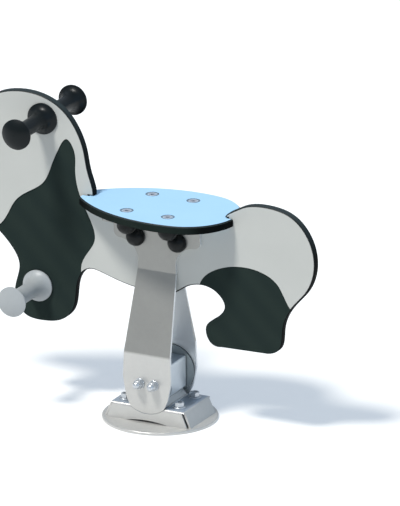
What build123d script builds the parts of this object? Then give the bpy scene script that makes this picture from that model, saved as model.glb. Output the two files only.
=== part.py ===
from build123d import *
import math
import os

# Spring rider: a flat spotted animal with a drop-shaped seat, rocking on a rubber torsion unit.
# Millimetres. The origin is the centre of the ground flange's underside, +Z is up,
# +X points to the tail and -Y is the rider's left.

os.makedirs("parts", exist_ok=True)

# Ground flange
flange_radius = 126
flange_thickness = 6
flange_edge_round = 2.5

# Foundation studs, with what is clamped on them
anchor_spacing_x = 130
anchor_spacing_y = 74
anchor_radius = 6
anchor_clearance = 0.5
nut_fit = 0.1
anchor_washer_radius = 14
anchor_washer_thickness = 3
anchor_nut_flats = 19
anchor_nut_height = 10

# Folded saddle over the flange
saddle_top_z = 42
saddle_sheet = 4
saddle_top_half_length = 88
saddle_foot_half_length = 104
saddle_foot_half_width = 66
saddle_bend_radius = 7
saddle_seam_foot = 7
saddle_seam_top = 5.5
saddle_arch_half_length = 50
saddle_arch_height = 5
saddle_inset = 0.5

# Torsion unit: a square core, turned by 45 degrees, in a square housing
axis_z = 93
housing_half = 36
housing_wall = 3.5
housing_half_length = 51
housing_corner_round = 4
core_side = 42
core_corner_round = 2
core_half_length = 54
rubber_half_length = 49
rubber_clearance = 0.2
cradle_top_half_length = 30
cradle_foot_half_length = 42
cradle_half_width = 46

# Round discs and bolts that clamp the core between the stem plates
disc_radius = 55
disc_thickness = 4
core_bolt_radius = 6
core_bolt_spacing = 34
core_bolt_clearance = 0.25
core_washer_radius = 12
core_washer_thickness = 2.5
core_nut_flats = 19
core_nut_hex_height = 12
core_nut_height = 22
core_head_height = 7.5
dome_inset = 0.5

# Stem plates, bent from sheet: vertical at the unit, leaning in above it, with a T-shaped head.
# A drop is measured down from the seat's top.
plate_thickness = 6
plate_lower_bend_z = 159
plate_upper_bend_drop = 145
plate_bend_radius = 18
plate_tip_radius = 67
plate_tip_half_width = 40
plate_tip_gap = 0.6
plate_hip_half_width = 58
plate_hip_z = 104
plate_hip_curve = 58
plate_low_half_width = 50
plate_low_z = 60
plate_low_curve = 40
plate_knee_half_width = 55.5
plate_neck_half_width = 42.5
plate_head_half_width = 104
plate_head_drop = 81
plate_head_corner = 15
plate_head_curve = 45
flange_reach = 84
flange_bend_radius = 6
flange_corner = 18

# Boards: a dark core between thin coloured skins, chamfered through the skin all round
board_thickness = 19
skin_thickness = 1.5
board_chamfer = 2.7

# Drop-shaped seat: a round rear, long arcs to a blunt front, and a slot at each end for the panel
seat_top_z = 481
seat_rear_radius = 116
seat_rear_centre_x = 65
seat_side_angle = 9
seat_front_x = -183
seat_front_half_width = 25
seat_corner = 8
seat_front_slot_x = -168
seat_rear_slot_x = 168
seat_under_inset = 4.5
seat_fit = 0.3

# Seat bolts with flush round heads, and panel bolts
seat_bolt_spacing_x = 99
seat_bolt_spacing_y = 122
seat_head_radius = 14.5
seat_head_height = 4
board_bolt_radius = 5
board_bolt_clearance = 0.4
board_nut_flats = 17
board_nut_height = 8
board_head_height = 6.4
bolt_end_length = 2
panel_bolt_spacing = 100
panel_bolt_drop = 72
socket_radius = 4
socket_depth = 2.5

# Domed caps, each snapped over a flat base under its nut
cap_radius = 21.5
cap_base_radius = 16
cap_base_thickness = 3
cap_fit = 0.3
cap_wall = 4
seat_cap_height = 28
panel_cap_height = 22

# Handles and footrests: spools on a rod through the panel
handle_x = -278.5
handle_rise = 158.5
handle_flange_radius = 35
handle_bell_share = 0
handle_neck_radius = 17.5
handle_knob_radius = 34
handle_knob_reach = 131.5
handle_reach = 145
footrest_x = -291.5
footrest_drop = 224
footrest_flange_radius = 35
footrest_bell_share = 0.35
footrest_neck_radius = 18.5
footrest_knob_radius = 33.5
footrest_knob_reach = 131
footrest_reach = 140
spool_flange_thickness = 3.5
spool_flare_length = 38
spool_rim = 3
spool_seat_gap = 0.3
rod_radius = 6
rod_half_length = 58
rod_clearance = 0.4
insert_radius = 9.5
insert_start = 14
insert_fit = 0.1
bore_spare = 3

# Places that follow from the sizes above
plate_inner_y = core_half_length + disc_thickness
plate_outer_y = plate_inner_y + plate_thickness
panel_face_y = board_thickness / 2
seat_bottom_z = seat_top_z - board_thickness
core_bolt_x = core_bolt_spacing / 2
panel_bolt_x = panel_bolt_spacing / 2
panel_bolt_z = seat_top_z - panel_bolt_drop
handle_z = seat_top_z + handle_rise
footrest_z = seat_top_z - footrest_drop
core_bolt_places = [(-core_bolt_x, axis_z), (core_bolt_x, axis_z)]
panel_bolt_places = [(-panel_bolt_x, panel_bolt_z), (panel_bolt_x, panel_bolt_z)]


# Ground flange

with BuildPart() as ground_flange:
    with BuildSketch():
        Circle(flange_radius)
        with GridLocations(anchor_spacing_x, anchor_spacing_y, 2, 2):
            Circle(anchor_radius + anchor_clearance, mode=Mode.SUBTRACT)
    extrude(amount=flange_thickness)
    rim = ground_flange.edges().filter_by(GeomType.CIRCLE).group_by(SortBy.RADIUS)[-1]
    fillet(rim.group_by(Axis.Z)[-1], radius=flange_edge_round)
ground_flange.part.label = "ground_flange"
export_step(ground_flange.part, "parts/ground_flange.step")


# Saddle: a folded sheet with leaning walls, open seams at its corners, a shallow arch under
# each long wall and a round notch in which the stem plate's tip swings

saddle_top_half_width = plate_outer_y - saddle_inset
notch_radius = plate_tip_radius + plate_tip_gap
notch_start_y = core_half_length - plate_tip_gap
saddle_height = saddle_top_z - flange_thickness
inner_top_z = saddle_top_z - saddle_sheet

with BuildPart() as saddle:
    with BuildSketch(Plane.XY.offset(flange_thickness)):
        Rectangle(2 * saddle_foot_half_length, 2 * saddle_foot_half_width)
    with BuildSketch(Plane.XY.offset(saddle_top_z)):
        Rectangle(2 * saddle_top_half_length, 2 * saddle_top_half_width)
    loft(ruled=True)
    fillet(saddle.edges().group_by(Axis.Z)[-1], radius=saddle_bend_radius)
    with BuildSketch(Plane.XY.offset(flange_thickness)):
        Rectangle(2 * (saddle_foot_half_length - saddle_sheet), 2 * (saddle_foot_half_width - saddle_sheet))
    with BuildSketch(Plane.XY.offset(inner_top_z)):
        Rectangle(2 * (saddle_top_half_length - saddle_sheet), 2 * (saddle_top_half_width - saddle_sheet))
    loft(ruled=True, mode=Mode.SUBTRACT)
    with BuildSketch(Plane.XZ.offset(notch_start_y)):
        with Locations((0, axis_z)):
            Circle(notch_radius)
    extrude(amount=saddle_foot_half_width, mode=Mode.SUBTRACT)
    with BuildSketch(Plane.XZ.offset(-notch_start_y)):
        with Locations((0, axis_z)):
            Circle(notch_radius)
    extrude(amount=-saddle_foot_half_width, mode=Mode.SUBTRACT)
    with BuildSketch(Plane.XZ):
        with BuildLine():
            ThreePointArc(
                (-saddle_arch_half_length, flange_thickness),
                (0, flange_thickness + saddle_arch_height),
                (saddle_arch_half_length, flange_thickness),
            )
            Line((saddle_arch_half_length, flange_thickness), (-saddle_arch_half_length, flange_thickness))
        make_face()
    extrude(amount=2 * saddle_foot_half_width, both=True, mode=Mode.SUBTRACT)
    for side_x, side_y in [(-1, -1), (-1, 1), (1, -1), (1, 1)]:
        with BuildSketch(Plane.XY.offset(flange_thickness)):
            with Locations((side_x * saddle_foot_half_length, side_y * saddle_foot_half_width)):
                Rectangle(2 * saddle_seam_foot, 2 * saddle_seam_foot)
        with BuildSketch(Plane.XY.offset(inner_top_z)):
            with Locations((side_x * saddle_top_half_length, side_y * saddle_top_half_width)):
                Rectangle(2 * saddle_seam_top, 2 * saddle_seam_top)
        loft(ruled=True, mode=Mode.SUBTRACT)
    with BuildSketch(Plane.XY.offset(flange_thickness)):
        with GridLocations(anchor_spacing_x, anchor_spacing_y, 2, 2):
            Circle(anchor_radius + anchor_clearance)
    extrude(amount=saddle_height, mode=Mode.SUBTRACT)
saddle.part.label = "saddle"
export_step(saddle.part, "parts/saddle.step")


# Anchor washers and nuts, for the foundation's studs

washer_top_z = saddle_top_z + anchor_washer_thickness

with BuildPart() as anchor_washers:
    with BuildSketch(Plane.XY.offset(saddle_top_z)):
        with GridLocations(anchor_spacing_x, anchor_spacing_y, 2, 2):
            Circle(anchor_washer_radius)
            Circle(anchor_radius + anchor_clearance, mode=Mode.SUBTRACT)
    extrude(amount=anchor_washer_thickness)
anchor_washers.part.label = "anchor_washers"
export_step(anchor_washers.part, "parts/anchor_washers.step")

with BuildPart() as anchor_nuts:
    with BuildSketch(Plane.XY.offset(washer_top_z)):
        with GridLocations(anchor_spacing_x, anchor_spacing_y, 2, 2):
            RegularPolygon(anchor_nut_flats / 2, 6, major_radius=False)
            Circle(anchor_radius, mode=Mode.SUBTRACT)
    extrude(amount=anchor_nut_height)
anchor_nuts.part.label = "anchor_nuts"
export_step(anchor_nuts.part, "parts/anchor_nuts.step")


# Cradle, torsion housing, rubber inserts and core

housing_bottom_z = axis_z - housing_half
housing_inner_half = housing_half - housing_wall

with BuildPart() as housing_cradle:
    with BuildSketch(Plane.XZ):
        with BuildLine():
            Polyline(
                (-cradle_foot_half_length, saddle_top_z),
                (cradle_foot_half_length, saddle_top_z),
                (cradle_top_half_length, housing_bottom_z),
                (-cradle_top_half_length, housing_bottom_z),
                close=True,
            )
        make_face()
    extrude(amount=cradle_half_width, both=True)
housing_cradle.part.label = "housing_cradle"
export_step(housing_cradle.part, "parts/housing_cradle.step")

with BuildPart() as torsion_housing:
    with BuildSketch(Plane.XZ):
        with Locations((0, axis_z)):
            RectangleRounded(2 * housing_half, 2 * housing_half, housing_corner_round)
            Rectangle(2 * housing_inner_half, 2 * housing_inner_half, mode=Mode.SUBTRACT)
    extrude(amount=housing_half_length, both=True)
torsion_housing.part.label = "torsion_housing"
export_step(torsion_housing.part, "parts/torsion_housing.step")

# Each rubber insert touches two walls of the housing and one flat of the core.
core_half = core_side / 2
insert_distance = (housing_inner_half + core_half) / (1 + 1 / math.sqrt(2))
rubber_radius = insert_distance - core_half - rubber_clearance
insert_offset = insert_distance / math.sqrt(2)

with BuildPart() as rubber_inserts:
    with BuildSketch(Plane.XZ):
        with Locations((0, axis_z)):
            with GridLocations(2 * insert_offset, 2 * insert_offset, 2, 2):
                Circle(rubber_radius)
    extrude(amount=rubber_half_length, both=True)
rubber_inserts.part.label = "rubber_inserts"
export_step(rubber_inserts.part, "parts/rubber_inserts.step")

with BuildPart() as torsion_core:
    with BuildSketch(Plane.XZ):
        with Locations((0, axis_z)):
            RectangleRounded(core_side, core_side, core_corner_round, rotation=45)
        with Locations(*core_bolt_places):
            Circle(core_bolt_radius + core_bolt_clearance, mode=Mode.SUBTRACT)
    extrude(amount=core_half_length, both=True)
torsion_core.part.label = "torsion_core"
export_step(torsion_core.part, "parts/torsion_core.step")


# Core discs, left and right

with BuildPart() as core_disc_left:
    with BuildSketch(Plane.XZ.offset(core_half_length)):
        with Locations((0, axis_z)):
            Circle(disc_radius)
        with Locations(*core_bolt_places):
            Circle(core_bolt_radius + core_bolt_clearance, mode=Mode.SUBTRACT)
    extrude(amount=disc_thickness)
core_disc_left.part.label = "core_disc_left"
export_step(core_disc_left.part, "parts/core_disc_left.step")

with BuildPart() as core_disc_right:
    mirror(core_disc_left.part, about=Plane.XZ)
core_disc_right.part.label = "core_disc_right"
export_step(core_disc_right.part, "parts/core_disc_right.step")


# Core bolts with hexagon heads on the right, washers, and dome nuts on the left

head_seat_y = plate_outer_y + core_washer_thickness
nut_blind_y = head_seat_y + core_nut_height - core_nut_flats / 4

with BuildPart() as core_bolts:
    with BuildSketch(Plane.XZ.offset(-head_seat_y)):
        with Locations(*core_bolt_places):
            Circle(core_bolt_radius)
    extrude(amount=head_seat_y + nut_blind_y - core_washer_thickness)
    with BuildSketch(Plane.XZ.offset(-head_seat_y)):
        with Locations(*core_bolt_places):
            RegularPolygon(core_nut_flats / 2, 6, major_radius=False)
    extrude(amount=-core_head_height)
core_bolts.part.label = "core_bolts"
export_step(core_bolts.part, "parts/core_bolts.step")

with BuildPart() as core_washers:
    with BuildSketch(Plane.XZ.offset(plate_outer_y)):
        with Locations(*core_bolt_places):
            Circle(core_washer_radius)
            Circle(core_bolt_radius + core_bolt_clearance, mode=Mode.SUBTRACT)
    extrude(amount=core_washer_thickness)
    mirror(about=Plane.XZ)
core_washers.part.label = "core_washers"
export_step(core_washers.part, "parts/core_washers.step")

dome_radius = core_nut_flats / 2 - dome_inset
dome_start_y = head_seat_y + core_nut_hex_height
dome_straight = core_nut_height - core_nut_hex_height - dome_radius

with BuildPart() as core_dome_nuts:
    with BuildSketch(Plane.XZ.offset(head_seat_y)):
        with Locations(*core_bolt_places):
            RegularPolygon(core_nut_flats / 2, 6, major_radius=False)
    extrude(amount=core_nut_hex_height)
    with BuildSketch(Plane.XZ.offset(dome_start_y)):
        with Locations(*core_bolt_places):
            Circle(dome_radius)
    extrude(amount=dome_straight)
    for place_x, place_z in core_bolt_places:
        with Locations((place_x, -dome_start_y - dome_straight, place_z)):
            Sphere(dome_radius)
    with BuildSketch(Plane.XZ.offset(head_seat_y)):
        with Locations(*core_bolt_places):
            Circle(core_bolt_radius + nut_fit)
    extrude(amount=nut_blind_y - head_seat_y, mode=Mode.SUBTRACT)
core_dome_nuts.part.label = "core_dome_nuts"
export_step(core_dome_nuts.part, "parts/core_dome_nuts.step")


# Stem plates: the folded section, cut to the front outline

plate_upper_bend_z = seat_top_z - plate_upper_bend_drop
plate_head_z = seat_top_z - plate_head_drop
tip_corner_z = axis_z - math.sqrt(plate_tip_radius**2 - plate_tip_half_width**2)
tip_bottom_z = axis_z - plate_tip_radius

with BuildPart() as stem_plate_left:
    with BuildSketch(Plane.YZ):
        with BuildLine():
            FilletPolyline(
                (-plate_inner_y, tip_bottom_z),
                (-plate_inner_y, plate_lower_bend_z),
                (-panel_face_y, plate_upper_bend_z),
                (-panel_face_y, seat_bottom_z),
                (-flange_reach, seat_bottom_z),
                radius=(plate_bend_radius, plate_bend_radius, flange_bend_radius + plate_thickness),
            )
            offset(amount=plate_thickness, side=Side.LEFT)
        make_face()
    extrude(amount=plate_head_half_width, both=True)
    with BuildSketch(Plane.XZ):
        with BuildLine():
            FilletPolyline(
                (0, seat_bottom_z),
                (plate_head_half_width, seat_bottom_z),
                (plate_head_half_width, plate_head_z),
                (plate_neck_half_width, plate_head_z),
                (plate_knee_half_width, plate_lower_bend_z),
                (plate_hip_half_width, plate_hip_z),
                (plate_low_half_width, plate_low_z),
                (plate_tip_half_width, tip_corner_z),
                radius=(0, plate_head_corner, plate_head_curve, plate_hip_curve, *[plate_low_curve] * 2),
            )
            mirror(about=Plane.YZ)
            ThreePointArc(
                (-plate_tip_half_width, tip_corner_z),
                (0, tip_bottom_z),
                (plate_tip_half_width, tip_corner_z),
            )
        make_face()
        with Locations(*core_bolt_places):
            Circle(core_bolt_radius + core_bolt_clearance, mode=Mode.SUBTRACT)
        with Locations(*panel_bolt_places):
            Circle(board_bolt_radius + board_bolt_clearance, mode=Mode.SUBTRACT)
    extrude(amount=flange_reach + plate_thickness, both=True, mode=Mode.INTERSECT)
    flange_corners = stem_plate_left.edges().filter_by(Axis.Z).group_by(Axis.Y)[0]
    fillet(flange_corners, radius=flange_corner)
    with BuildSketch(Plane.XY.offset(seat_bottom_z)):
        with GridLocations(seat_bolt_spacing_x, seat_bolt_spacing_y, 2, 2):
            Circle(board_bolt_radius + board_bolt_clearance)
    extrude(amount=-plate_thickness, mode=Mode.SUBTRACT)
stem_plate_left.part.label = "stem_plate_left"
export_step(stem_plate_left.part, "parts/stem_plate_left.step")

with BuildPart() as stem_plate_right:
    mirror(stem_plate_left.part, about=Plane.XZ)
stem_plate_right.part.label = "stem_plate_right"
export_step(stem_plate_right.part, "parts/stem_plate_right.step")


# Panel outline, in X and height over the seat's top: neck and head, front leg, belly and rear
# leg, then rump. The neck's foot and the rump's nose hook over the seat.

panel_plane = Plane(origin=(0, 0, seat_top_z), x_dir=(1, 0, 0), z_dir=(0, -1, 0))
neck_foot = (-156, seat_fit)
throat = (-388, -113)
heel = (151, -297)
rear_heel = (262, -295)
rump_nose = (160, seat_fit)
neck_and_head = [
    neck_foot,
    (-157, 15),
    (-163, 35),
    (-170, 57),
    (-178, 97),
    (-194, 139),
    (-233, 187),
    (-291, 212),
    (-346, 213),
    (-395, 197),
    (-433, 157),
    (-481, 80),
    (-530, 6),
    (-536, -36),
    (-505, -78),
    (-446, -106),
    throat,
]
legs_and_belly = [
    throat,
    (-354, -148),
    (-338, -181),
    (-347, -229),
    (-346, -267),
    (-323, -296),
    (-280, -303),
    (-235, -294),
    (-208, -268),
    (-200, -235),
    (-188, -184),
    (-168, -168),
    (-139, -171),
    (-100, -183),
    (-40, -195),
    (40, -190),
    (72, -170),
    (102, -163),
    (144, -178),
    (159, -205),
    (140, -231),
    (115, -254),
    (121, -286),
    heel,
]
hock_and_rump = [
    rear_heel,
    (294, -274),
    (299, -233),
    (322, -182),
    (358, -139),
    (376, -81),
    (358, -13),
    (319, 25),
    (264, 38),
    (231, 37),
    (207, 31),
    (180, 17),
    (162, 4),
    rump_nose,
]

with BuildSketch() as panel_outline:
    with BuildLine():
        Spline(*neck_and_head)
        Spline(*legs_and_belly)
        Line(heel, rear_heel)
        Spline(*hock_and_rump)
        Polyline(
            rump_nose,
            (seat_rear_slot_x, seat_fit),
            (seat_rear_slot_x, -board_thickness - seat_fit),
            (seat_front_slot_x, -board_thickness - seat_fit),
            (seat_front_slot_x, seat_fit),
            neck_foot,
        )
    make_face()

# Dark patches, where the pale skin is cut away: the chest and front leg, and the rear leg

chest_patch = [
    (-404, -110),
    (-372, -84),
    (-344, -36),
    (-306, -8),
    (-278, 13),
    (-257, 57),
    (-239, 98),
    (-221, 120),
    (-205, 102),
    (-200, 54),
    (-187, -8),
    (-161, -61),
    (-153, -99),
    (-173, -135),
    (-182, -191),
]
haunch_patch = [
    (98, -181),
    (107, -147),
    (141, -121),
    (192, -107),
    (246, -111),
    (286, -133),
    (306, -166),
    (332, -198),
]
patch_floor = -331

with BuildSketch() as patches:
    for patch in (chest_patch, haunch_patch):
        with BuildLine():
            Spline(*patch)
            Polyline(patch[-1], (patch[-1][0], patch_floor), (patch[0][0], patch_floor), patch[0])
        make_face()

with BuildSketch() as panel_holes:
    with Locations((handle_x, handle_rise), (footrest_x, -footrest_drop)):
        Circle(rod_radius + rod_clearance)
    with Locations((-panel_bolt_x, -panel_bolt_drop), (panel_bolt_x, -panel_bolt_drop)):
        Circle(board_bolt_radius + board_bolt_clearance)

core_half_thickness = panel_face_y - skin_thickness

with BuildPart() as panel_board:
    with BuildSketch(panel_plane):
        add(panel_outline.sketch)
        add(panel_holes.sketch, mode=Mode.SUBTRACT)
    extrude(amount=panel_face_y, both=True)
    board_faces = panel_board.faces().filter_by(Axis.Y).sort_by(SortBy.AREA)[-2:]
    chamfer([edge for face in board_faces for edge in face.outer_wire().edges()], length=board_chamfer)

with BuildPart() as panel_core:
    add(panel_board.part)
    split(bisect_by=Plane.XZ.offset(core_half_thickness), keep=Keep.BOTTOM)
    split(bisect_by=Plane.XZ.offset(-core_half_thickness), keep=Keep.TOP)
panel_core.part.label = "panel_core"
export_step(panel_core.part, "parts/panel_core.step")

with BuildPart() as panel_skin_left:
    add(panel_board.part)
    split(bisect_by=Plane.XZ.offset(core_half_thickness), keep=Keep.TOP)
    with BuildSketch(panel_plane.offset(core_half_thickness)):
        add(patches.sketch)
    extrude(amount=skin_thickness, mode=Mode.SUBTRACT)
panel_skin_left.part.label = "panel_skin_left"
export_step(panel_skin_left.part, "parts/panel_skin_left.step")

with BuildPart() as panel_skin_right:
    mirror(panel_skin_left.part, about=Plane.XZ)
panel_skin_right.part.label = "panel_skin_right"
export_step(panel_skin_right.part, "parts/panel_skin_right.step")


# Seat: a round rear that runs into two long arcs, slotted at both ends for the panel

side_angle = math.radians(seat_side_angle)
side_start_x = seat_rear_centre_x + seat_rear_radius * math.sin(side_angle)
side_start_y = seat_rear_radius * math.cos(side_angle)
slot_width = board_thickness + 2 * seat_fit

with BuildSketch() as seat_outline:
    with BuildLine():
        ThreePointArc(
            (side_start_x, -side_start_y),
            (seat_rear_centre_x + seat_rear_radius, 0),
            (side_start_x, side_start_y),
        )
        TangentArc(
            (side_start_x, side_start_y),
            (seat_front_x, seat_front_half_width),
            tangent=(-math.cos(side_angle), math.sin(side_angle)),
        )
        TangentArc(
            (side_start_x, -side_start_y),
            (seat_front_x, -seat_front_half_width),
            tangent=(-math.cos(side_angle), -math.sin(side_angle)),
        )
        Line((seat_front_x, seat_front_half_width), (seat_front_x, -seat_front_half_width))
    make_face()
    fillet(seat_outline.vertices().group_by(Axis.X)[0], radius=seat_corner)
    with Locations((seat_rear_slot_x - seat_fit, 0)):
        Rectangle(seat_rear_radius, slot_width, align=(Align.MIN, Align.CENTER), mode=Mode.SUBTRACT)
    with Locations((seat_front_slot_x + seat_fit, 0)):
        Rectangle(seat_rear_radius, slot_width, align=(Align.MAX, Align.CENTER), mode=Mode.SUBTRACT)

with BuildPart() as seat_board:
    with BuildSketch(Plane.XY.offset(seat_bottom_z)):
        add(seat_outline.sketch)
        with GridLocations(seat_bolt_spacing_x, seat_bolt_spacing_y, 2, 2):
            Circle(board_bolt_radius + board_bolt_clearance, mode=Mode.SUBTRACT)
    extrude(amount=board_thickness)
    board_faces = seat_board.faces().filter_by(Axis.Z)
    chamfer([edge for face in board_faces for edge in face.outer_wire().edges()], length=board_chamfer)
    with BuildSketch(Plane.XY.offset(seat_top_z - seat_head_height)):
        with GridLocations(seat_bolt_spacing_x, seat_bolt_spacing_y, 2, 2):
            Circle(seat_head_radius + board_bolt_clearance)
    extrude(amount=seat_head_height, mode=Mode.SUBTRACT)

with BuildPart() as seat_core:
    add(seat_board.part)
    split(bisect_by=Plane.XY.offset(seat_top_z - skin_thickness), keep=Keep.BOTTOM)
    split(bisect_by=Plane.XY.offset(seat_bottom_z + skin_thickness), keep=Keep.TOP)
seat_core.part.label = "seat_core"
export_step(seat_core.part, "parts/seat_core.step")

with BuildPart() as seat_skin_top:
    add(seat_board.part)
    split(bisect_by=Plane.XY.offset(seat_top_z - skin_thickness), keep=Keep.TOP)
seat_skin_top.part.label = "seat_skin_top"
export_step(seat_skin_top.part, "parts/seat_skin_top.step")

with BuildPart() as seat_skin_bottom:
    with BuildSketch(Plane.XY.offset(seat_bottom_z)):
        offset(seat_outline.sketch, amount=-seat_under_inset)
        with GridLocations(seat_bolt_spacing_x, seat_bolt_spacing_y, 2, 2):
            Circle(board_bolt_radius + board_bolt_clearance, mode=Mode.SUBTRACT)
    extrude(amount=skin_thickness)
seat_skin_bottom.part.label = "seat_skin_bottom"
export_step(seat_skin_bottom.part, "parts/seat_skin_bottom.step")


# Seat bolts, cap bases, nuts and domed caps, hanging from the stem plates' flanges

flange_under_z = seat_bottom_z - plate_thickness
seat_nut_top_z = flange_under_z - cap_base_thickness
seat_nut_bottom_z = seat_nut_top_z - board_nut_height
seat_bolt_end_z = seat_nut_bottom_z - bolt_end_length

with BuildPart() as seat_bolts:
    with BuildSketch(Plane.XY.offset(seat_top_z - seat_head_height)):
        with GridLocations(seat_bolt_spacing_x, seat_bolt_spacing_y, 2, 2):
            Circle(seat_head_radius)
    extrude(amount=seat_head_height)
    with BuildSketch(Plane.XY.offset(seat_bolt_end_z)):
        with GridLocations(seat_bolt_spacing_x, seat_bolt_spacing_y, 2, 2):
            Circle(board_bolt_radius)
    extrude(amount=seat_top_z - seat_head_height - seat_bolt_end_z)
    with BuildSketch(Plane.XY.offset(seat_top_z)):
        with GridLocations(seat_bolt_spacing_x, seat_bolt_spacing_y, 2, 2):
            RegularPolygon(socket_radius, 6)
    extrude(amount=-socket_depth, mode=Mode.SUBTRACT)
seat_bolts.part.label = "seat_bolts"
export_step(seat_bolts.part, "parts/seat_bolts.step")

with BuildPart() as seat_cap_bases:
    with BuildSketch(Plane.XY.offset(seat_nut_top_z)):
        with GridLocations(seat_bolt_spacing_x, seat_bolt_spacing_y, 2, 2):
            Circle(cap_base_radius)
            Circle(board_bolt_radius + board_bolt_clearance, mode=Mode.SUBTRACT)
    extrude(amount=cap_base_thickness)
seat_cap_bases.part.label = "seat_cap_bases"
export_step(seat_cap_bases.part, "parts/seat_cap_bases.step")

with BuildPart() as seat_nuts:
    with BuildSketch(Plane.XY.offset(seat_nut_bottom_z)):
        with GridLocations(seat_bolt_spacing_x, seat_bolt_spacing_y, 2, 2):
            RegularPolygon(board_nut_flats / 2, 6, major_radius=False)
            Circle(board_bolt_radius + insert_fit, mode=Mode.SUBTRACT)
    extrude(amount=board_nut_height)
seat_nuts.part.label = "seat_nuts"
export_step(seat_nuts.part, "parts/seat_nuts.step")


def dome_arc(edge_radius, edge_height, top_height, swap=False):
    """An arc of a ball on the axis, from the rim at edge_radius to the top on the axis."""
    rise = top_height - edge_height
    ball_radius = (rise**2 + edge_radius**2) / (2 * rise)
    half_angle = math.asin(edge_radius / ball_radius) / 2
    middle = (ball_radius * math.sin(half_angle), top_height - ball_radius * (1 - math.cos(half_angle)))
    places = [(edge_radius, edge_height), middle, (0, top_height)]
    if swap:
        places = [(height, radius) for radius, height in places]
    return ThreePointArc(*places)


def domed_cap(height):
    """A cap with its mouth on the XY plane and its dome towards +Z."""
    cavity_radius = cap_base_radius + cap_fit
    rim_height = height - cap_radius + cap_wall
    with BuildPart(mode=Mode.PRIVATE) as cap:
        with BuildSketch(Plane.XZ):
            with BuildLine():
                Polyline((0, height), (0, 0), (cap_radius, 0), (cap_radius, rim_height))
                dome_arc(cap_radius, rim_height, height)
            make_face()
        revolve(axis=Axis.Z)
        with BuildSketch():
            Circle(cavity_radius)
        extrude(amount=height - 2 * cap_wall, mode=Mode.SUBTRACT)
    return cap.part


with BuildPart() as seat_bolt_caps:
    with Locations(Plane.XY.offset(flange_under_z - cap_fit)):
        with GridLocations(seat_bolt_spacing_x, seat_bolt_spacing_y, 2, 2):
            add(domed_cap(seat_cap_height), rotation=(180, 0, 0))
seat_bolt_caps.part.label = "seat_bolt_caps"
export_step(seat_bolt_caps.part, "parts/seat_bolt_caps.step")


# Panel bolts through both stem plates, cap bases, nuts and domed caps

clamp_outer_y = panel_face_y + plate_thickness
panel_seat_y = clamp_outer_y + cap_base_thickness
panel_bolt_end_y = panel_seat_y + board_nut_height + bolt_end_length

with BuildPart() as panel_bolts:
    with BuildSketch(Plane.XZ.offset(-panel_seat_y)):
        with Locations(*panel_bolt_places):
            RegularPolygon(board_nut_flats / 2, 6, major_radius=False)
    extrude(amount=-board_head_height)
    with BuildSketch(Plane.XZ.offset(-panel_seat_y)):
        with Locations(*panel_bolt_places):
            Circle(board_bolt_radius)
    extrude(amount=panel_seat_y + panel_bolt_end_y)
panel_bolts.part.label = "panel_bolts"
export_step(panel_bolts.part, "parts/panel_bolts.step")

with BuildPart() as panel_cap_bases:
    with BuildSketch(Plane.XZ.offset(clamp_outer_y)):
        with Locations(*panel_bolt_places):
            Circle(cap_base_radius)
            Circle(board_bolt_radius + board_bolt_clearance, mode=Mode.SUBTRACT)
    extrude(amount=cap_base_thickness)
    mirror(about=Plane.XZ)
panel_cap_bases.part.label = "panel_cap_bases"
export_step(panel_cap_bases.part, "parts/panel_cap_bases.step")

with BuildPart() as panel_nuts:
    with BuildSketch(Plane.XZ.offset(panel_seat_y)):
        with Locations(*panel_bolt_places):
            RegularPolygon(board_nut_flats / 2, 6, major_radius=False)
            Circle(board_bolt_radius + insert_fit, mode=Mode.SUBTRACT)
    extrude(amount=board_nut_height)
panel_nuts.part.label = "panel_nuts"
export_step(panel_nuts.part, "parts/panel_nuts.step")

with BuildPart() as panel_bolt_caps:
    with Locations(Plane.XZ.offset(clamp_outer_y + cap_fit)):
        with Locations(*panel_bolt_places):
            add(domed_cap(panel_cap_height))
    mirror(about=Plane.XZ)
panel_bolt_caps.part.label = "panel_bolt_caps"
export_step(panel_bolt_caps.part, "parts/panel_bolt_caps.step")


# Handles and footrests


def spool(place, flange_r, neck_r, knob_r, bell_share, knob_reach, reach):
    """The left spool of a pair: a bell at the panel, a waist, a second bell and a domed end."""
    place_x, place_z = place
    start_y = panel_face_y + spool_seat_gap
    bell_y = start_y + spool_flange_thickness
    bore_end_y = rod_half_length + bore_spare
    side_plane = Plane(origin=(place_x, 0, place_z), x_dir=(0, -1, 0), z_dir=(1, 0, 0))
    with BuildPart() as body:
        with BuildSketch(side_plane):
            with BuildLine():
                Polyline((start_y, 0), (start_y, flange_r), (bell_y, flange_r))
                Bezier(
                    (bell_y, flange_r),
                    (bell_y + spool_flare_length / 6, neck_r + bell_share * (flange_r - neck_r)),
                    (bell_y + spool_flare_length / 2, neck_r),
                    (bell_y + spool_flare_length, neck_r),
                )
                Line((bell_y + spool_flare_length, neck_r), (knob_reach - spool_flare_length, neck_r))
                Bezier(
                    (knob_reach - spool_flare_length, neck_r),
                    (knob_reach - spool_flare_length / 2, neck_r),
                    (knob_reach - spool_flare_length / 6, neck_r + bell_share * (knob_r - neck_r)),
                    (knob_reach, knob_r),
                )
                Line((knob_reach, knob_r), (knob_reach + spool_rim, knob_r))
                dome_arc(knob_r, knob_reach + spool_rim, reach, swap=True)
                Line((reach, 0), (start_y, 0))
            make_face()
        revolve(axis=Axis((place_x, 0, place_z), (0, 1, 0)))
        with BuildSketch(Plane.XZ.offset(start_y)):
            with Locations(place):
                Circle(insert_radius + insert_fit)
        extrude(amount=bore_end_y - start_y, mode=Mode.SUBTRACT)
    return body


handle_left = spool(
    (handle_x, handle_z),
    handle_flange_radius,
    handle_neck_radius,
    handle_knob_radius,
    handle_bell_share,
    handle_knob_reach,
    handle_reach,
)
handle_left.part.label = "handle_left"
export_step(handle_left.part, "parts/handle_left.step")

with BuildPart() as handle_right:
    mirror(handle_left.part, about=Plane.XZ)
handle_right.part.label = "handle_right"
export_step(handle_right.part, "parts/handle_right.step")

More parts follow.
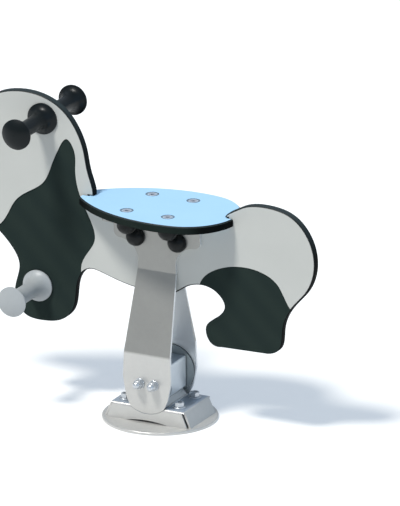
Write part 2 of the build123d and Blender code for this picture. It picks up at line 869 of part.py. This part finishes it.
footrest_left = spool(
    (footrest_x, footrest_z),
    footrest_flange_radius,
    footrest_neck_radius,
    footrest_knob_radius,
    footrest_bell_share,
    footrest_knob_reach,
    footrest_reach,
)
footrest_left.part.label = "footrest_left"
export_step(footrest_left.part, "parts/footrest_left.step")

with BuildPart() as footrest_right:
    mirror(footrest_left.part, about=Plane.XZ)
footrest_right.part.label = "footrest_right"
export_step(footrest_right.part, "parts/footrest_right.step")

with BuildPart() as handle_rod:
    with BuildSketch(Plane.XZ):
        with Locations((handle_x, handle_z)):
            Circle(rod_radius)
    extrude(amount=rod_half_length, both=True)
handle_rod.part.label = "handle_rod"
export_step(handle_rod.part, "parts/handle_rod.step")

with BuildPart() as footrest_rod:
    with BuildSketch(Plane.XZ):
        with Locations((footrest_x, footrest_z)):
            Circle(rod_radius)
    extrude(amount=rod_half_length, both=True)
footrest_rod.part.label = "footrest_rod"
export_step(footrest_rod.part, "parts/footrest_rod.step")

with BuildPart() as handle_inserts:
    with BuildSketch(Plane.XZ.offset(insert_start)):
        with Locations((handle_x, handle_z)):
            Circle(insert_radius)
            Circle(rod_radius + insert_fit, mode=Mode.SUBTRACT)
    extrude(amount=rod_half_length - insert_start)
    mirror(about=Plane.XZ)
handle_inserts.part.label = "handle_inserts"
export_step(handle_inserts.part, "parts/handle_inserts.step")

with BuildPart() as footrest_inserts:
    with BuildSketch(Plane.XZ.offset(insert_start)):
        with Locations((footrest_x, footrest_z)):
            Circle(insert_radius)
            Circle(rod_radius + insert_fit, mode=Mode.SUBTRACT)
    extrude(amount=rod_half_length - insert_start)
    mirror(about=Plane.XZ)
footrest_inserts.part.label = "footrest_inserts"
export_step(footrest_inserts.part, "parts/footrest_inserts.step")
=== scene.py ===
import math

import bmesh
import bpy
from mathutils import Matrix, Vector


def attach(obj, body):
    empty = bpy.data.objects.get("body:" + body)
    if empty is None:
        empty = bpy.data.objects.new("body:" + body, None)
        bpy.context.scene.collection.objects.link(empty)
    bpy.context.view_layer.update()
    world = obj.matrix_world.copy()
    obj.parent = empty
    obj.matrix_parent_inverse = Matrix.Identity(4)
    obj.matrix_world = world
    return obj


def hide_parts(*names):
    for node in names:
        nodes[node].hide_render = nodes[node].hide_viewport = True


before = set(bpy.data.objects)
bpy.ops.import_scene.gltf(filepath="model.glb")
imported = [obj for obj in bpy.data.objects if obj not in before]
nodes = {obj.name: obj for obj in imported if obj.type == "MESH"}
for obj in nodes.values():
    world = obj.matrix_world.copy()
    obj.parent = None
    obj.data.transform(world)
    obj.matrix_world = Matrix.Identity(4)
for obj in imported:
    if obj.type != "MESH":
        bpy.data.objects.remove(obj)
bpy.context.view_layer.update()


# Ground flange, saddle, cradle and torsion housing.
# One weldment of laser-cut and folded steel, hot-dip galvanised after welding, so that a thin
# satin coat of zinc with faint grey crystals runs over every edge and corner.

def linear(hex_colour):
    """A hex sRGB colour as the linear colour that a socket takes."""
    channels = [int(hex_colour[start:start + 2], 16) / 255 for start in (1, 3, 5)]
    return [c / 12.92 if c <= 0.04045 else ((c + 0.055) / 1.055) ** 2.4 for c in channels] + [1]


def add_node(tree, kind, inputs=None, **settings):
    """A node with its settings, its input values and its links."""
    node = tree.nodes.new(kind)
    for name, value in settings.items():
        setattr(node, name, value)
    for name, value in (inputs or {}).items():
        if isinstance(value, bpy.types.NodeSocket):
            tree.links.new(value, node.inputs[name])
        else:
            node.inputs[name].default_value = value
    return node


def start_material(name):
    """An empty material with its output, and the object coordinates that its patterns read."""
    material = bpy.data.materials.new(name)
    material.use_nodes = True
    tree = material.node_tree
    tree.nodes.clear()
    place = add_node(tree, "ShaderNodeTexCoord").outputs["Object"]
    return material, tree, place


def end_material(tree, inputs):
    """The shader with these inputs, joined to the material's output."""
    shader = add_node(tree, "ShaderNodeBsdfPrincipled", inputs)
    add_node(tree, "ShaderNodeOutputMaterial", {"Surface": shader.outputs["BSDF"]})


def per_metre(millimetres):
    """The texture scale at which one cell of a pattern is that many millimetres wide."""
    return 1000 / millimetres


def galvanised_steel(name, low, high, painted_light=None):
    """A dull zinc patina over satin metal: soft crystals, each a little lighter or darker, and
    a fine matt grain. Painted light and shade, when given, change that colour from place to place."""
    spangle_mm = 9
    cloud_mm = 80
    grain_mm = 1.4
    material, tree, place = start_material(name)
    spangle = add_node(tree, "ShaderNodeTexVoronoi", {"Vector": place, "Scale": per_metre(spangle_mm)})
    crystal = add_node(tree, "ShaderNodeSeparateColor", {"Color": spangle.outputs["Color"]})
    cloud = add_node(
        tree, "ShaderNodeTexNoise", {"Vector": place, "Scale": per_metre(cloud_mm), "Detail": 3}
    )
    grain = add_node(
        tree, "ShaderNodeTexNoise", {"Vector": place, "Scale": per_metre(grain_mm), "Detail": 2}
    )
    tone = add_node(
        tree,
        "ShaderNodeMath",
        {0: crystal.outputs["Red"], 1: 0.25, 2: cloud.outputs["Fac"]},
        operation="MULTIPLY_ADD",
    )
    colour = add_node(
        tree,
        "ShaderNodeMix",
        {"Factor": tone.outputs[0], "A": linear(low), "B": linear(high)},
        data_type="RGBA",
    )
    finish = colour.outputs["Result"]
    if painted_light:
        finish = painted_light(tree, place, finish)
    roughness = add_node(
        tree, "ShaderNodeMapRange", {"Value": crystal.outputs["Green"], "To Min": 0.31, "To Max": 0.36}
    )
    bump = add_node(
        tree, "ShaderNodeBump", {"Height": grain.outputs["Fac"], "Strength": 0.05, "Distance": 0.0003}
    )
    end_material(
        tree,
        {
            "Base Color": finish,
            "Metallic": 0.45,
            "Roughness": roughness.outputs["Result"],
            "Normal": bump.outputs["Normal"],
        },
    )
    return material


def dress(material, *names):
    """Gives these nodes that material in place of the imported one."""
    for name in names:
        for material_slot in nodes[name].material_slots:
            material_slot.material = material


galvanised = galvanised_steel("hot_dip_galvanised_steel", "#BCBBB8", "#C6C5C1")
dress(galvanised, "ground_flange", "housing_cradle")


def tops_painted_shade(tree, place, finish):
    """The finish, a darker bluish grey where a face looks up: painted shade on the tops."""
    facing = add_node(tree, "ShaderNodeTexCoord").outputs["Normal"]
    upward = add_node(tree, "ShaderNodeSeparateXYZ", {"Vector": facing}).outputs["Z"]
    top = add_node(tree, "ShaderNodeMapRange", {"Value": upward, "From Min": 0.8, "From Max": 0.95})
    mixed = add_node(
        tree,
        "ShaderNodeMix",
        {"Factor": top.outputs["Result"], "A": finish, "B": linear("#A3ADB8")},
        data_type="RGBA",
    )
    return mixed.outputs["Result"]


# Painted shade on the tops of the saddle and the housing.
dress(galvanised_steel("galvanised_cover", "#BCBBB8", "#C6C5C1", tops_painted_shade), "saddle")
# The housing's colour is lighter and bluer than the rest of the weldment: painted light from the sky on its sides.
dress(galvanised_steel("galvanised_tube", "#D6DBDD", "#DFE3E5", tops_painted_shade), "torsion_housing")


# Weld beads.
# Fillets of weld metal along the cradle's foot and under the housing, laid by hand in short
# overlapping ripples and galvanised with the rest.

def ringed(rings, points=48, closed=False):
    """A skin over rings round Z, in millimetres, from first to last. A ring is its radius and
    height, or a hexagon's half width, its height, and how steeply its corners are cut down."""
    shape = bmesh.new()
    loops = []
    for radius, height, *cut in rings:
        at_end = not closed and len(loops) in (0, len(rings) - 1)
        ring = bmesh.ops.create_circle(shape, cap_ends=at_end, segments=points, radius=radius)["verts"]
        for point in ring:
            point.co.z = height
            if cut:
                from_flat = math.atan2(point.co.y, point.co.x) % (math.pi / 3) - math.pi / 6
                stretch = 1 / math.cos(from_flat)
                point.co.x *= stretch
                point.co.y *= stretch
                point.co.z -= cut[0] * radius * (stretch - 1)
        loops.append({edge for point in ring for edge in point.link_edges})
    for first, second in zip(loops, loops[1:] + loops[:1] if closed else loops[1:]):
        bmesh.ops.bridge_loops(shape, edges=list(first | second))
    return shape


def turned(shape, angle, axis):
    """The shape turned round the origin, by degrees about an axis."""
    turn = Matrix.Rotation(math.radians(angle), 3, axis)
    bmesh.ops.rotate(shape, matrix=turn, verts=shape.verts)
    return shape


def copies(shape, places):
    """The shape at each of these places, instead of at the origin."""
    pattern = shape.verts[:] + shape.edges[:] + shape.faces[:]
    first_verts = shape.verts[:]
    for place in places:
        twin = bmesh.ops.duplicate(shape, geom=pattern)["geom"]
        twin_verts = [part for part in twin if isinstance(part, bmesh.types.BMVert)]
        bmesh.ops.translate(shape, vec=place, verts=twin_verts)
    bmesh.ops.delete(shape, geom=first_verts, context="VERTS")
    return shape


def add_piece(shape, name, material, body, record_slot, *stands_for):
    """The shape, drawn in millimetres, as a piece with smooth faces and crisp corners."""
    crisp_corner = math.radians(28)
    bmesh.ops.scale(shape, vec=(0.001, 0.001, 0.001), verts=shape.verts)
    bmesh.ops.recalc_face_normals(shape, faces=shape.faces)
    for face in shape.faces:
        face.smooth = True
    for edge in shape.edges:
        edge.smooth = edge.calc_face_angle(0) < crisp_corner
    mesh = bpy.data.meshes.new(name)
    shape.to_mesh(mesh)
    shape.free()
    mesh.materials.append(material)
    piece = bpy.data.objects.new(name, mesh)
    bpy.context.scene.collection.objects.link(piece)
    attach(piece, body)
    if stands_for:
        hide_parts(*stands_for)
    return piece


bead_half_length = 45
bead_throat = 2.6
ripple_pitch = 2.5
ripples = []
for step in range(2 * bead_half_length * 2 // 5 * 2 + 1):
    along = -bead_half_length + step * ripple_pitch / 2
    ripples.append((bead_throat if step % 2 else bead_throat - 0.45, along))

bead = turned(ringed(ripples, points=16), 90, "X")
add_piece(
    copies(bead, [(-42, 0, 42), (42, 0, 42), (-30.5, 0, 56.4), (30.5, 0, 56.4)]),
    "weld_beads", galvanised, "foot", "galvanised_steel",
)


# Torsion core with its two discs.
# A solid square bar on four rubber inserts, clamped between round discs. The discs sit between
# housing and plates, and their colour is darker than the rest of the zinc as painted shade.

def rim_painted_shade(tree, place, finish):
    """The finish, almost black round the sawn rim of a disc."""
    facing = add_node(tree, "ShaderNodeTexCoord").outputs["Normal"]
    sideways = add_node(tree, "ShaderNodeSeparateXYZ", {"Vector": facing}).outputs["Y"]
    flat = add_node(tree, "ShaderNodeMath", {0: sideways}, operation="ABSOLUTE")
    face = add_node(
        tree, "ShaderNodeMapRange", {"Value": flat.outputs[0], "From Min": 0.4, "From Max": 0.6}
    )
    mixed = add_node(
        tree,
        "ShaderNodeMix",
        {"Factor": face.outputs["Result"], "A": linear("#4A5357"), "B": finish},
        data_type="RGBA",
    )
    return mixed.outputs["Result"]


dress(galvanised, "torsion_core")
disc_painted_shade = galvanised_steel("galvanised_disc_painted_shade", "#929A9D", "#9CA4A6", rim_painted_shade)
dress(disc_painted_shade, "core_disc_left", "core_disc_right")


# Rubber cords.
# Four cords of black natural rubber, pushed frozen into the corners between the housing and
# the core, and so pressed flat where they meet two walls and one side of the bar.

def black_rubber():
    """Matt black rubber with a faint bloom."""
    bloom_mm = 9
    material, tree, place = start_material("pressed_natural_rubber")
    bloom = add_node(
        tree, "ShaderNodeTexNoise", {"Vector": place, "Scale": per_metre(bloom_mm), "Detail": 4}
    )
    colour = add_node(
        tree,
        "ShaderNodeMix",
        {"Factor": bloom.outputs["Fac"], "A": linear("#1B1C1C"), "B": linear("#303130")},
        data_type="RGBA",
    )
    end_material(tree, {"Base Color": colour.outputs["Result"], "Roughness": 0.8})
    return material


cord_radius = 10.8
cord_flat = 10.3
cord_half_length = 49
cord_rim = 0.8
cord_offset = 22.16
unit_height = 93

cords = bmesh.new()
bmesh.ops.create_circle(cords, cap_ends=True, segments=96, radius=cord_radius)
for towards in [(1, 0, 0), (0, 1, 0), (-1, -1, 0)]:
    pressed = Vector(towards).normalized()
    bmesh.ops.bisect_plane(
        cords,
        geom=cords.verts[:] + cords.edges[:] + cords.faces[:],
        plane_co=cord_flat * pressed,
        plane_no=pressed,
        clear_outer=True,
    )
cord_length = bmesh.ops.extrude_face_region(cords, geom=cords.faces[:])["geom"]
bmesh.ops.translate(
    cords,
    vec=(0, 0, 2 * cord_half_length),
    verts=[part for part in cord_length if isinstance(part, bmesh.types.BMVert)],
)
bmesh.ops.translate(cords, vec=(0, 0, -cord_half_length), verts=cords.verts)
rims = [edge for edge in cords.edges if abs(edge.verts[0].co.z - edge.verts[1].co.z) < 0.01]
bmesh.ops.bevel(
    cords, geom=rims, affect="EDGES", offset=cord_rim, segments=3, profile=0.5, material=-1
)
turned(cords, 90, "X")
bmesh.ops.scale(cords, vec=(1, 1, -1), verts=cords.verts)
bmesh.ops.translate(cords, vec=(cord_offset, 0, cord_offset), verts=cords.verts)
bmesh.ops.spin(
    cords,
    geom=cords.verts[:] + cords.edges[:] + cords.faces[:],
    cent=(0, 0, 0),
    axis=(0, 1, 0),
    angle=math.radians(270),
    steps=3,
    use_duplicate=True,
)
bmesh.ops.translate(cords, vec=(0, 0, unit_height), verts=cords.verts)
add_piece(cords, "rubber_cords", black_rubber(), "foot", "black_rubber", "rubber_inserts")


# Bolts, nuts and washers.
# Turned or cold-formed steel with a thin bright zinc plate, smoother and bluer than the
# galvanised plates.

def zinc_plate():
    """Bright zinc over turned steel, with fine turning marks in its roughness."""
    mark_mm = 2.5
    material, tree, place = start_material("bright_zinc_plated_steel")
    marks = add_node(
        tree, "ShaderNodeTexNoise", {"Vector": place, "Scale": per_metre(mark_mm), "Detail": 2}
    )
    roughness = add_node(
        tree, "ShaderNodeMapRange", {"Value": marks.outputs["Fac"], "To Min": 0.3, "To Max": 0.42}
    )
    colour = add_node(
        tree,
        "ShaderNodeMix",
        {"Factor": marks.outputs["Fac"], "A": linear("#BFC3C7"), "B": linear("#CBCFD3")},
        data_type="RGBA",
    )
    end_material(
        tree,
        {
            "Base Color": colour.outputs["Result"],
            "Metallic": 0.7,
            "Roughness": roughness.outputs["Result"],
        },
    )
    return material


zinc = zinc_plate()
dress(zinc, "core_bolts", "seat_nuts", "panel_bolts", "panel_nuts", "handle_rod")
dress(zinc, "handle_inserts", "footrest_rod", "footrest_inserts")

corner_cut = math.tan(math.radians(30))


def washer(hole, rim, thickness):
    """A pressed washer with its two rims just rounded."""
    round_over = 0.35
    return ringed(
        [
            (hole, 0),
            (rim - round_over, 0),
            (rim, round_over),
            (rim, thickness - round_over),
            (rim - round_over, thickness),
            (hole + round_over, thickness),
            (hole, thickness - round_over),
        ],
        closed=True,
    )


anchor_places = [(x, y, 42) for x in (-65, 65) for y in (-37, 37)]
anchor_nut = [(9.5, 0.6, -corner_cut), (9.5, 9.6, corner_cut), (8.9, 10), (6.9, 10), (6, 9.1)]
for thread_turn in range(5):
    anchor_nut += [(6, 8.2 - 1.75 * thread_turn), (6.45, 7.35 - 1.75 * thread_turn)]
anchor_nut += [(6, 0.6), (6.9, 0), (8.9, 0)]
anchor_nut_shape = ringed(anchor_nut, closed=True)
bmesh.ops.translate(anchor_nut_shape, vec=(0, 0, 3), verts=anchor_nut_shape.verts)
add_piece(
    copies(washer(6.5, 14, 3), anchor_places),
    "bevelled_anchor_washers", zinc, "foot", "zinc_plated_steel", "anchor_washers",
)
add_piece(
    copies(anchor_nut_shape, anchor_places),
    "chamfered_anchor_nuts", zinc, "foot", "zinc_plated_steel", "anchor_nuts",
)

core_bolt_x = 17
plate_outer_y = 64
dome_radius = 9
dome_centre = 13
dome_nut = [(6.1, 17.3), (6.1, 0.8), (6.9, 0), (8.9, 0), (9.5, 0.6, -corner_cut)]
dome_nut += [(9.5, 11.7, corner_cut), (9.1, 12), (dome_radius, 12.3)]
for degrees in range(0, 90, 6):
    tilt = math.radians(degrees)
    dome_nut.append((dome_radius * math.cos(tilt), dome_centre + dome_radius * math.sin(tilt)))
dome_nut.append((0.3, dome_centre + dome_radius))
add_piece(
    copies(
        turned(ringed(dome_nut), 90, "X"),
        [(x, -plate_outer_y - 2.5, unit_height) for x in (-core_bolt_x, core_bolt_x)],
    ),
    "polished_dome_nuts", zinc, "rider", "zinc_plated_steel", "core_dome_nuts",
)
washer_places = [(x, -plate_outer_y, unit_height) for x in (-core_bolt_x, core_bolt_x)]
washer_places += [(x, plate_outer_y + 2.5, unit_height) for x in (-core_bolt_x, core_bolt_x)]
add_piece(
    copies(turned(washer(6.25, 12, 2.5), 90, "X"), washer_places),
    "bevelled_core_washers", zinc, "rider", "zinc_plated_steel", "core_washers",
)

def ringed_zinc():
    """Zinc on the seat bolts' heads, in rings: grey at the rim, bright on the ring inside the
    groove, dull in the middle, and darker in the socket as painted shade."""
    material, tree, place = start_material("ringed_zinc_plated_steel")
    folded = add_node(tree, "ShaderNodeVectorMath", {0: place}, operation="ABSOLUTE")
    centred = add_node(
        tree,
        "ShaderNodeVectorMath",
        {0: folded.outputs["Vector"], 1: (0.0495, 0.061, 0)},
        operation="SUBTRACT",
    )
    level = add_node(
        tree,
        "ShaderNodeVectorMath",
        {0: centred.outputs["Vector"], 1: (1, 1, 0)},
        operation="MULTIPLY",
    )
    radius = add_node(
        tree, "ShaderNodeVectorMath", {0: level.outputs["Vector"]}, operation="LENGTH"
    )
    share = add_node(
        tree, "ShaderNodeMath", {0: radius.outputs["Value"], 1: 0.0145}, operation="DIVIDE"
    )
    rings = add_node(tree, "ShaderNodeValToRGB", {"Fac": share.outputs[0]})
    stops = rings.color_ramp.elements
    stops[0].color = linear("#808C99")
    stops[1].color = linear("#798C9B")
    for position, colour in [
        (0.22, "#808C99"), (0.3, "#ACB0BB"), (0.55, "#ACB0BB"), (0.6, "#C4D6E4"),
        (0.72, "#C4D6E4"), (0.78, "#8396A5"),
    ]:
        stops.new(position).color = linear(colour)
    end_material(
        tree, {"Base Color": rings.outputs["Color"], "Metallic": 0.4, "Roughness": 0.5}
    )
    return material


seat_bolt = [(5, 443), (5, 477), (14, 477), (14.5, 477.4), (14.5, 480.5), (14, 481)]
seat_bolt += [(11.4, 481), (11.1, 480.3), (10.4, 480.3), (10.1, 480.9), (5.2, 480.9)]
seat_bolt += [(3.6, 480.4, 0), (3.46, 478.5, 0)]
add_piece(
    copies(ringed(seat_bolt), [(x, y, 0) for x in (-49.5, 49.5) for y in (-61, 61)]),
    "grooved_seat_bolts", ringed_zinc(), "rider", "zinc_plated_steel", "seat_bolts",
)


# Stem plates.
# Two laser-cut steel plates, folded to lean in to the panel and to carry the seat on a flange,
# galvanised after folding.

def plates_painted_light_and_shade(tree, place, finish):
    """The finish, darker on the plates' outer faces above the lower bend as painted shade, and
    lighter on the inner faces as painted light."""
    bend_z = 0.159
    spot = add_node(tree, "ShaderNodeSeparateXYZ", {"Vector": place})
    facing = add_node(tree, "ShaderNodeTexCoord").outputs["Normal"]
    facing_y = add_node(tree, "ShaderNodeSeparateXYZ", {"Vector": facing}).outputs["Y"]
    outward = add_node(
        tree, "ShaderNodeMath", {0: spot.outputs["Y"], 1: facing_y}, operation="MULTIPLY"
    )
    outer = add_node(tree, "ShaderNodeMath", {0: outward.outputs[0], 1: 0}, operation="GREATER_THAN")
    above = add_node(
        tree,
        "ShaderNodeMapRange",
        {"Value": spot.outputs["Z"], "From Min": bend_z - 0.003, "From Max": bend_z + 0.003},
    )
    both = add_node(
        tree, "ShaderNodeMath", {0: outer.outputs[0], 1: above.outputs["Result"]}, operation="MULTIPLY"
    )
    outer_painted_shade = add_node(
        tree,
        "ShaderNodeMix",
        {"Factor": 1, "A": finish, "B": linear("#CCCCCA")},
        data_type="RGBA",
        blend_type="MULTIPLY",
    )
    inner_painted_light = add_node(
        tree,
        "ShaderNodeMix",
        {"Factor": outer.outputs[0], "A": linear("#D8DBDC"), "B": finish},
        data_type="RGBA",
    )
    mixed = add_node(
        tree,
        "ShaderNodeMix",
        {
            "Factor": both.outputs[0],
            "A": inner_painted_light.outputs["Result"],
            "B": outer_painted_shade.outputs["Result"],
        },
        data_type="RGBA",
    )
    return mixed.outputs["Result"]


folded_steel = galvanised_steel("folded_galvanised_steel", "#BCBBB8", "#C6C5C1", plates_painted_light_and_shade)
dress(folded_steel, "stem_plate_left", "stem_plate_right")


# Panel and seat boards.
# Polyethylene boards of three layers: a black core that shows at the routed edges and where
# the skin is milled away, and coloured skins with a fine matt grain.

def board(name, low, high, level):
    """Grained polyethylene: a pebbled grain, a faint cloud in the colour, and a cut round its
    edge where the router has dragged the dark core over the thin skin. Level says whether the
    board lies flat or stands on edge."""
    grain_mm = 1.1
    cloud_mm = 90
    material, tree, place = start_material(name)
    grain = add_node(
        tree, "ShaderNodeTexNoise", {"Vector": place, "Scale": per_metre(grain_mm), "Detail": 3}
    )
    cloud = add_node(
        tree, "ShaderNodeTexNoise", {"Vector": place, "Scale": per_metre(cloud_mm), "Detail": 2}
    )
    colour = add_node(
        tree,
        "ShaderNodeMix",
        {"Factor": cloud.outputs["Fac"], "A": linear(low), "B": linear(high)},
        data_type="RGBA",
    )
    facing = add_node(tree, "ShaderNodeTexCoord").outputs["Normal"]
    across = add_node(tree, "ShaderNodeSeparateXYZ", {"Vector": facing}).outputs["Z" if level else "Y"]
    flat = add_node(tree, "ShaderNodeMath", {0: across}, operation="ABSOLUTE")
    skin = add_node(
        tree, "ShaderNodeMapRange", {"Value": flat.outputs[0], "From Min": 0.8, "From Max": 0.9}
    )
    cut = add_node(
        tree,
        "ShaderNodeMix",
        {"Factor": skin.outputs["Result"], "A": linear("#141919"), "B": colour.outputs["Result"]},
        data_type="RGBA",
    )
    bump = add_node(
        tree, "ShaderNodeBump", {"Height": grain.outputs["Fac"], "Strength": 0.25, "Distance": 0.0003}
    )
    end_material(
        tree,
        {
            "Base Color": cut.outputs["Result"],
            "Roughness": 0.55,
            "Specular IOR Level": 0.3,
            "Normal": bump.outputs["Normal"],
        },
    )
    return material


def routed_core(name, low, high):
    """Black polyethylene as a router leaves it: dull where a face is milled in close passes, near
    black on the cut edges, and lighter and bluer on those that face up as painted light from the sky."""
    pass_mm = 6
    grain_mm = 1.1
    material, tree, place = start_material(name)
    facing = add_node(tree, "ShaderNodeTexCoord").outputs["Normal"]
    across = add_node(tree, "ShaderNodeSeparateXYZ", {"Vector": facing})
    flat = add_node(tree, "ShaderNodeMath", {0: across.outputs["Y"]}, operation="ABSOLUTE")
    milled = add_node(
        tree, "ShaderNodeMapRange", {"Value": flat.outputs[0], "From Min": 0.75, "From Max": 0.95}
    )
    facing_up_painted_light = add_node(
        tree, "ShaderNodeMapRange", {"Value": across.outputs["Z"], "From Min": 0.1, "From Max": 0.9}
    )
    passes = add_node(
        tree,
        "ShaderNodeTexWave",
        {"Vector": place, "Scale": per_metre(pass_mm) / 20, "Distortion": 0.4},
        bands_direction="DIAGONAL",
    )
    grain = add_node(
        tree, "ShaderNodeTexNoise", {"Vector": place, "Scale": per_metre(grain_mm), "Detail": 3}
    )
    face = add_node(
        tree,
        "ShaderNodeMix",
        {"Factor": passes.outputs["Fac"], "A": linear(low), "B": linear(high)},
        data_type="RGBA",
    )
    edge = add_node(
        tree,
        "ShaderNodeMix",
        {"Factor": facing_up_painted_light.outputs["Result"], "A": linear("#0A0D0D"), "B": linear("#363E40")},
        data_type="RGBA",
    )
    colour = add_node(
        tree,
        "ShaderNodeMix",
        {"Factor": milled.outputs["Result"], "A": edge.outputs["Result"], "B": face.outputs["Result"]},
        data_type="RGBA",
    )
    bump = add_node(
        tree, "ShaderNodeBump", {"Height": grain.outputs["Fac"], "Strength": 0.2, "Distance": 0.0002}
    )
    end_material(
        tree,
        {
            "Base Color": colour.outputs["Result"],
            "Roughness": 0.6,
            "Specular IOR Level": 0.03,
            "Normal": bump.outputs["Normal"],
        },
    )
    return material


pale_board = board("grained_pale_polyethylene", "#B7B8B3", "#BFC0BB", False)
blue_board = board("grained_blue_polyethylene", "#A2CCEC", "#AAD3F1", True)
dress(pale_board, "panel_skin_left", "panel_skin_right")
dress(blue_board, "seat_skin_top", "seat_skin_bottom")
dress(routed_core("milled_black_polyethylene", "#242E2C", "#27312E"), "panel_core")
dress(routed_core("routed_black_polyethylene", "#1B2320", "#1E2623"), "seat_core")


# Caps.
# Injection-moulded black polyethylene domes, snapped over a flat base under each nut.

def moulded_plastic(name, low, high, roughness, specular):
    """Moulded plastic with a fine spark-eroded grain from the tool."""
    grain_mm = 0.9
    cloud_mm = 30
    material, tree, place = start_material(name)
    grain = add_node(
        tree, "ShaderNodeTexNoise", {"Vector": place, "Scale": per_metre(grain_mm), "Detail": 2}
    )
    cloud = add_node(
        tree, "ShaderNodeTexNoise", {"Vector": place, "Scale": per_metre(cloud_mm), "Detail": 2}
    )
    colour = add_node(
        tree,
        "ShaderNodeMix",
        {"Factor": cloud.outputs["Fac"], "A": linear(low), "B": linear(high)},
        data_type="RGBA",
    )
    bump = add_node(
        tree, "ShaderNodeBump", {"Height": grain.outputs["Fac"], "Strength": 0.15, "Distance": 0.0002}
    )
    end_material(
        tree,
        {
            "Base Color": colour.outputs["Result"],
            "Roughness": roughness,
            "Specular IOR Level": specular,
            "Normal": bump.outputs["Normal"],
        },
    )
    return material


black_cap = moulded_plastic("moulded_black_polyethylene", "#090C0C", "#0E1212", 0.36, 0.2)
dress(black_cap, "seat_cap_bases", "seat_bolt_caps", "panel_cap_bases", "panel_bolt_caps")


# Handles.
# Black polyamide spools, injection moulded round a steel tube insert and screwed on a rod.

dress(moulded_plastic("moulded_black_polyamide", "#090F10", "#0D1518", 0.34, 0.2), "handle_left", "handle_right")


# Footrests.
# The same kind of spool in light grey polyamide.

dress(moulded_plastic("moulded_grey_polyamide", "#9DA1A2", "#A5A9AA", 0.42, 0.5), "footrest_left", "footrest_right")


# Floor, light and camera.
# A plain white floor that keeps the shadow, a soft sun from the front left, and a pale sky.

floor_half = 40

floor_mesh = bmesh.new()
bmesh.ops.create_grid(floor_mesh, x_segments=1, y_segments=1, size=floor_half)
bmesh.ops.translate(floor_mesh, vec=(0, 0, -0.0005), verts=floor_mesh.verts)
floor_data = bpy.data.meshes.new("floor")
floor_mesh.to_mesh(floor_data)
floor_mesh.free()
floor = bpy.data.objects.new("floor", floor_data)
bpy.context.scene.collection.objects.link(floor)


def seen_ray(tree):
    """1 for a ray from the camera, or one that shows the background in metal or glass."""
    path = add_node(tree, "ShaderNodeLightPath")
    straight = add_node(
        tree,
        "ShaderNodeMath",
        {0: path.outputs["Is Camera Ray"], 1: path.outputs["Is Glossy Ray"]},
        operation="ADD",
    )
    seen = add_node(
        tree,
        "ShaderNodeMath",
        {0: straight.outputs[0], 1: path.outputs["Is Transmission Ray"]},
        operation="ADD",
        use_clamp=True,
    )
    return seen.outputs[0]


def white_floor():
    """White paint that keeps the shadow, and is lifted to white where it is only looked at."""
    material, tree, _ = start_material("white_studio_floor")
    seen = seen_ray(tree)
    paint = add_node(
        tree,
        "ShaderNodeMix",
        {"Factor": seen, "A": (0.8, 0.8, 0.8, 1), "B": (0.74, 0.715, 0.67, 1)},
        data_type="RGBA",
    )
    diffuse = add_node(tree, "ShaderNodeBsdfDiffuse", {"Color": paint.outputs["Result"]})
    lift = add_node(
        tree, "ShaderNodeMath", {0: seen, 1: 0.34}, operation="MULTIPLY"
    )
    glow = add_node(
        tree, "ShaderNodeEmission", {"Color": (0.86, 0.97, 1.12, 1), "Strength": lift.outputs[0]}
    )
    both = add_node(tree, "ShaderNodeAddShader", {0: diffuse.outputs[0], 1: glow.outputs[0]})
    add_node(tree, "ShaderNodeOutputMaterial", {"Surface": both.outputs[0]})
    return material


floor_data.materials.append(white_floor())

sun = bpy.data.lights.new("soft_sun", "SUN")
sun.energy = 3.05
sun.angle = math.radians(11)
sun.color = (1, 0.985, 0.95)
sun_lamp = bpy.data.objects.new("soft_sun", sun)
sun_lamp.rotation_euler = Vector((0.25, 0.52, -1)).to_track_quat("-Z", "Y").to_euler()
bpy.context.scene.collection.objects.link(sun_lamp)

world = bpy.data.worlds.new("pale_sky")
bpy.context.scene.world = world
world.use_nodes = True
sky = world.node_tree
sky.nodes.clear()
direction = add_node(sky, "ShaderNodeTexCoord").outputs["Generated"]
towards = add_node(sky, "ShaderNodeSeparateXYZ", {"Vector": direction})
ramp = add_node(sky, "ShaderNodeValToRGB", {"Fac": towards.outputs["Z"]})
blue_side = add_node(
    sky, "ShaderNodeMapRange", {"Value": towards.outputs["X"], "From Min": 0.3, "From Max": 1}
)
bluer = add_node(
    sky,
    "ShaderNodeMix",
    {"Factor": blue_side.outputs["Result"], "A": ramp.outputs["Color"], "B": (0.5, 0.68, 0.9, 1)},
    data_type="RGBA",
)
stops = ramp.color_ramp.elements
stops[0].position = 0
stops[0].color = (0.24, 0.27, 0.3, 1)
stops[1].position = 1
stops[1].color = (0.28, 0.32, 0.38, 1)
for position, colour in [(0.2, (0.24, 0.28, 0.33, 1)), (0.36, (0.5, 0.56, 0.64, 1))]:
    stop = stops.new(position)
    stop.color = colour
seen = add_node(sky, "ShaderNodeLightPath").outputs["Is Camera Ray"]
backdrop = add_node(
    sky,
    "ShaderNodeMix",
    {"Factor": seen, "A": bluer.outputs["Result"], "B": (1, 1, 1, 1)},
    data_type="RGBA",
)
glow = add_node(sky, "ShaderNodeBackground", {"Color": backdrop.outputs["Result"]})
add_node(sky, "ShaderNodeOutputWorld", {"Surface": glow.outputs[0]})

camera_azimuth = math.radians(26.65)
camera_elevation = math.radians(18.95)
camera_distance = 30.225
camera_target = Vector((0.0962, 0, 0.3877))

camera = bpy.data.objects.new("camera", bpy.data.cameras.new("camera"))
camera.data.lens = 1000
camera.data.clip_end = 200
back = Vector(
    (
        math.sin(camera_azimuth) * math.cos(camera_elevation),
        -math.cos(camera_azimuth) * math.cos(camera_elevation),
        math.sin(camera_elevation),
    )
)
camera.location = camera_target + camera_distance * back
camera.rotation_euler = (-back).to_track_quat("-Z", "Y").to_euler()
bpy.context.scene.collection.objects.link(camera)
bpy.context.scene.camera = camera
bpy.context.scene.view_settings.view_transform = "Standard"
